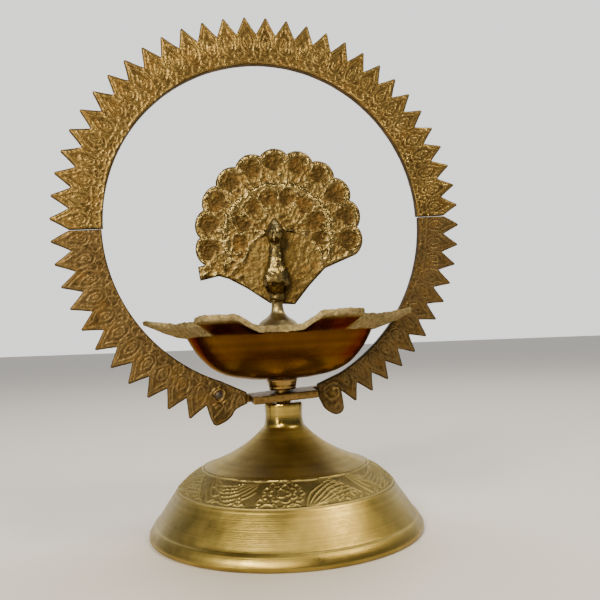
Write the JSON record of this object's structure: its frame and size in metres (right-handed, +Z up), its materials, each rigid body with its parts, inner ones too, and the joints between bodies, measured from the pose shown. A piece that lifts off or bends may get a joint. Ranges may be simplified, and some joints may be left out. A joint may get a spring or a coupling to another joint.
{
  "type": "standing oil lamp",
  "caption": "Standing brass oil lamp: hollow turned pedestal, six-petalled oil bowl with side wick rests, a toothed halo ring on a strap, and a peacock with an open tail.",
  "frame": {"origin": "Middle of the lamp's bounding box on the table it stands on. The pedestal's axis is 2.9 mm to +X of it.", "axes": "+Z up, the lamp's face towards -Y, its right side (seen from the front) towards +X"},
  "size_m": [0.1394, 0.092, 0.1752],
  "materials": {
    "turned_brass": "satin turned brass with fine lathe lines and small dark pits",
    "bowl_brass": "polished brass, browned with age",
    "cast_brass": "rough cast brass, dark patina in the recesses, worn bright on the ridges",
    "peacock_brass": "sand-cast brass, grey-green on the ridges and orange-brown in the recesses",
    "strap_brass": "dull dark brass bar",
    "dark_brass": "dark turned brass",
    "steel_pin": "dark, slightly rusted steel"
  },
  "bodies": {
    "pedestal": {"base": "turned_brass"},
    "bowl": {"bowl": "bowl_brass", "bowl_collar": "dark_brass", "bowl_stud": "dark_brass"},
    "ring": {"ring_upper_arch": "cast_brass", "ring_left_arm": "cast_brass", "ring_right_arm": "cast_brass", "strap": "strap_brass", "rivet_left": "steel_pin", "rivet_right": "dark_brass"},
    "peacock": {"peacock_foot": "bowl_brass", "peacock_screw": "dark_brass", "peacock_body": "peacock_brass", "peacock_tail": "peacock_brass"}
  },
  "joints": [
    {"name": "bowl_unscrew", "type": "hinge", "parent": "pedestal", "child": "bowl", "pos_m": [0.0029, 0, 0.042], "axis": [-0.0175, 0, 0.9998], "continuous": true},
    {"name": "ring_swivel", "type": "hinge", "parent": "bowl", "child": "ring", "pos_m": [0.0029, 0, 0.042], "axis": [-0.0175, 0, 0.9998], "range_deg": [0, 40]},
    {"name": "peacock_turn", "type": "hinge", "parent": "bowl", "child": "peacock", "pos_m": [0.00191, 0, 0.05273], "axis": [0.0035, 0, 1], "continuous": true}
  ]
}
